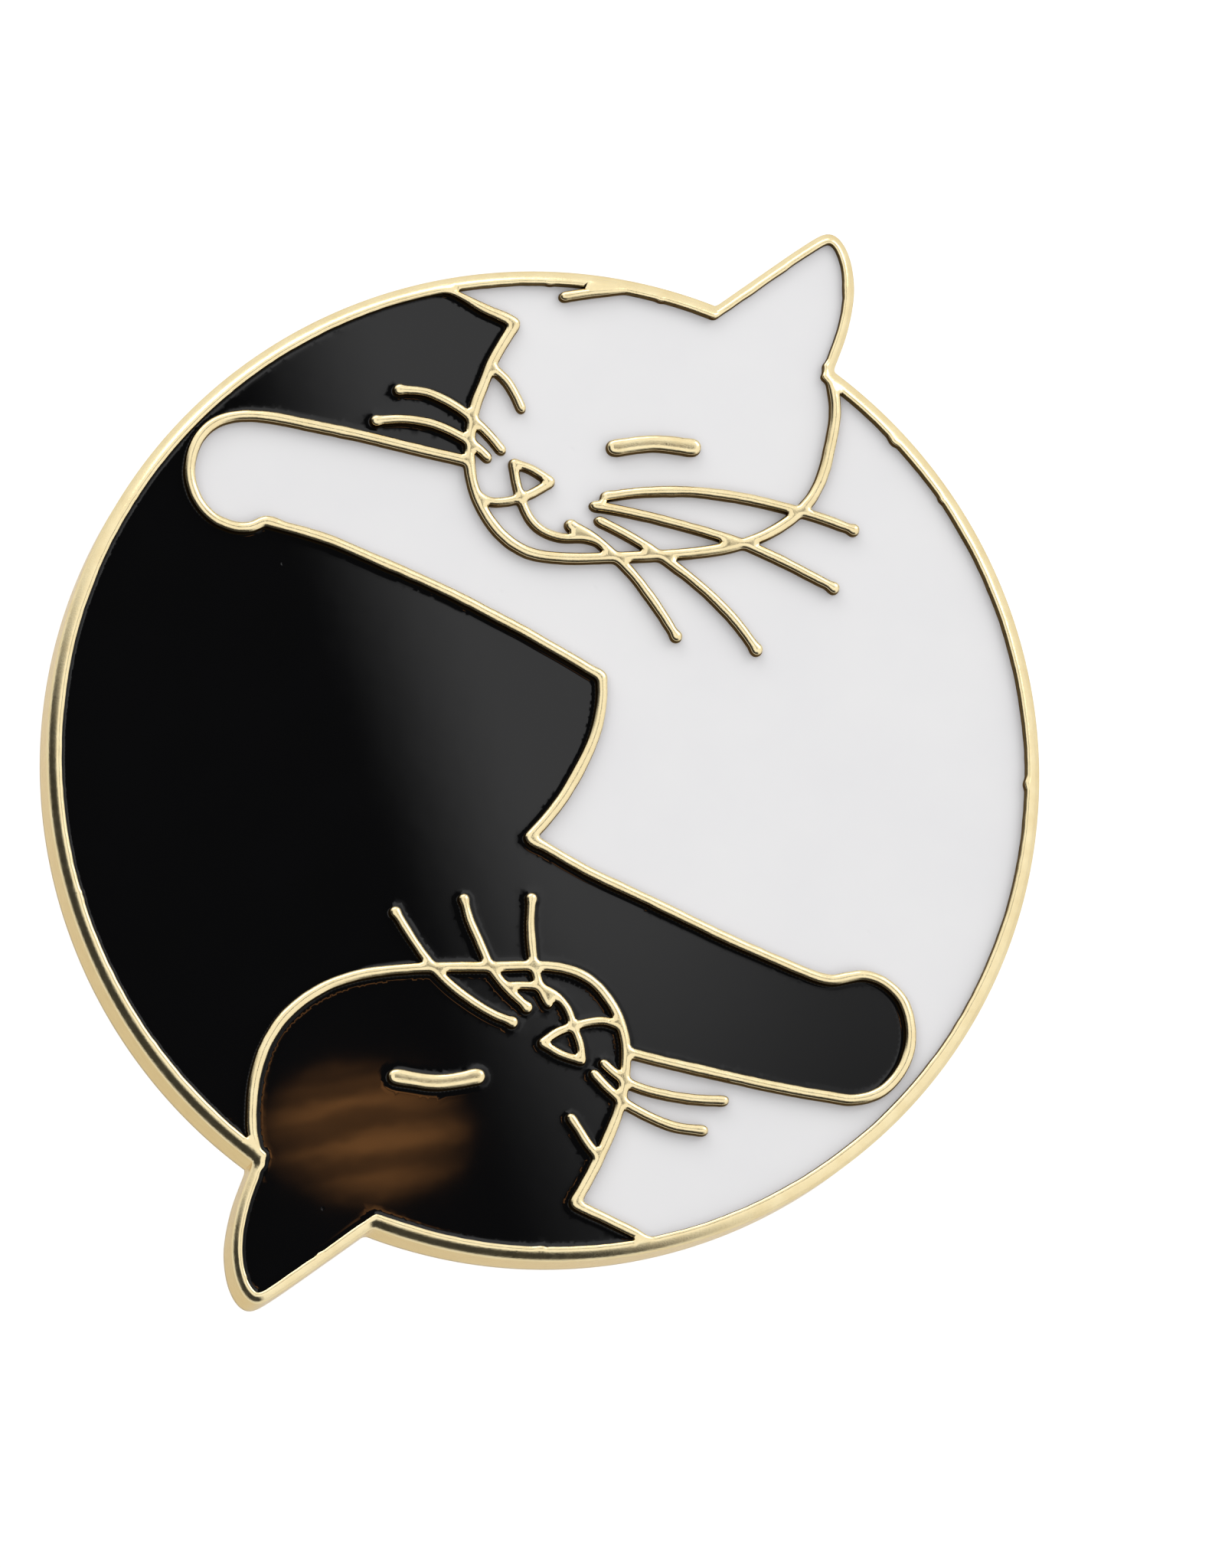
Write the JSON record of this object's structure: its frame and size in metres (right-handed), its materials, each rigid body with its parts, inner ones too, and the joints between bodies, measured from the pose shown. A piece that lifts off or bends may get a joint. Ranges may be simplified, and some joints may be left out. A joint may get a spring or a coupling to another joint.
{
  "type": "enamel pin",
  "caption": "Round soft-enamel lapel pin of two curled-up cats, black and white, with raised gold lines and two posts held by butterfly clutches.",
  "frame": {"origin": "under the centre of the disc, on the surface that the clutch wings rest on", "axes": "+Z out of the face, +Y towards the white cat's head, +X to the right as the face is seen"},
  "size_m": [0.03, 0.0324, 0.0138],
  "materials": {
    "gold_plate": "polished pale-gold plating",
    "gold_post": "plated",
    "gold_clutch": "plated pressed sheet",
    "spring_steel": "bright spring steel",
    "solder": "plated solder",
    "white_enamel": "glossy baked enamel",
    "black_enamel": "glossy baked enamel"
  },
  "bodies": {
    "pin": {"metal_plate": "gold_plate", "white_head_enamel": "white_enamel", "white_body_enamel": "white_enamel", "white_cheek_enamel": "white_enamel", "white_chin_enamel": "white_enamel", "white_nose_enamel": "white_enamel", "black_head_enamel": "black_enamel", "black_body_enamel": "black_enamel", "black_chin_enamel": "black_enamel", "black_lip_enamel": "black_enamel", "black_nose_enamel": "black_enamel", "left_post": "gold_post", "right_post": "gold_post", "left_solder": "solder", "right_solder": "solder"},
    "left_clutch": {"left_dish": "gold_clutch"},
    "left_turntable": {"left_insert": "gold_clutch", "left_spring": "spring_steel"},
    "left_wing_a": {"left_wing_a": "gold_clutch"},
    "left_wing_b": {"left_wing_b": "gold_clutch"},
    "right_clutch": {"right_dish": "gold_clutch"},
    "right_turntable": {"right_insert": "gold_clutch", "right_spring": "spring_steel"},
    "right_wing_a": {"right_wing_a": "gold_clutch"},
    "right_wing_b": {"right_wing_b": "gold_clutch"}
  },
  "joints": [
    {"name": "left_clutch_slide", "type": "slide", "parent": "pin", "child": "left_clutch", "axis": [0, 0, -1], "range_m": [0, 0.01]},
    {"name": "left_clutch_spin", "type": "hinge", "parent": "left_clutch", "child": "left_turntable", "pos_m": [-0.0075, 0, 0.0055], "axis": [0, 0, 1], "continuous": true},
    {"name": "left_wing_a_pinch", "type": "hinge", "parent": "left_turntable", "child": "left_wing_a", "pos_m": [-0.0075, 0.0019, 0.004], "axis": [-1, 0, 0], "range_deg": [0, 12], "stiffness_Nm_per_rad": 0.05, "springref_deg": -11.46, "deforming": ["left_spring"]},
    {"name": "left_wing_b_pinch", "type": "hinge", "parent": "left_turntable", "child": "left_wing_b", "pos_m": [-0.0075, -0.0019, 0.004], "axis": [1, 0, 0], "range_deg": [0, 12]},
    {"name": "right_clutch_slide", "type": "slide", "parent": "pin", "child": "right_clutch", "axis": [0, 0, -1], "range_m": [0, 0.01]},
    {"name": "right_clutch_spin", "type": "hinge", "parent": "right_clutch", "child": "right_turntable", "pos_m": [0.0075, 0, 0.0055], "axis": [0, 0, 1], "continuous": true},
    {"name": "right_wing_a_pinch", "type": "hinge", "parent": "right_turntable", "child": "right_wing_a", "pos_m": [0.0075, 0.0019, 0.004], "axis": [-1, 0, 0], "range_deg": [0, 12], "stiffness_Nm_per_rad": 0.05, "springref_deg": -11.46, "deforming": ["right_spring"]},
    {"name": "right_wing_b_pinch", "type": "hinge", "parent": "right_turntable", "child": "right_wing_b", "pos_m": [0.0075, -0.0019, 0.004], "axis": [1, 0, 0], "range_deg": [0, 12]}
  ],
  "couplings": [
    {"joint": "left_wing_b_pinch", "follows": "left_wing_a_pinch", "ratio": 1},
    {"joint": "right_wing_b_pinch", "follows": "right_wing_a_pinch", "ratio": 1}
  ]
}
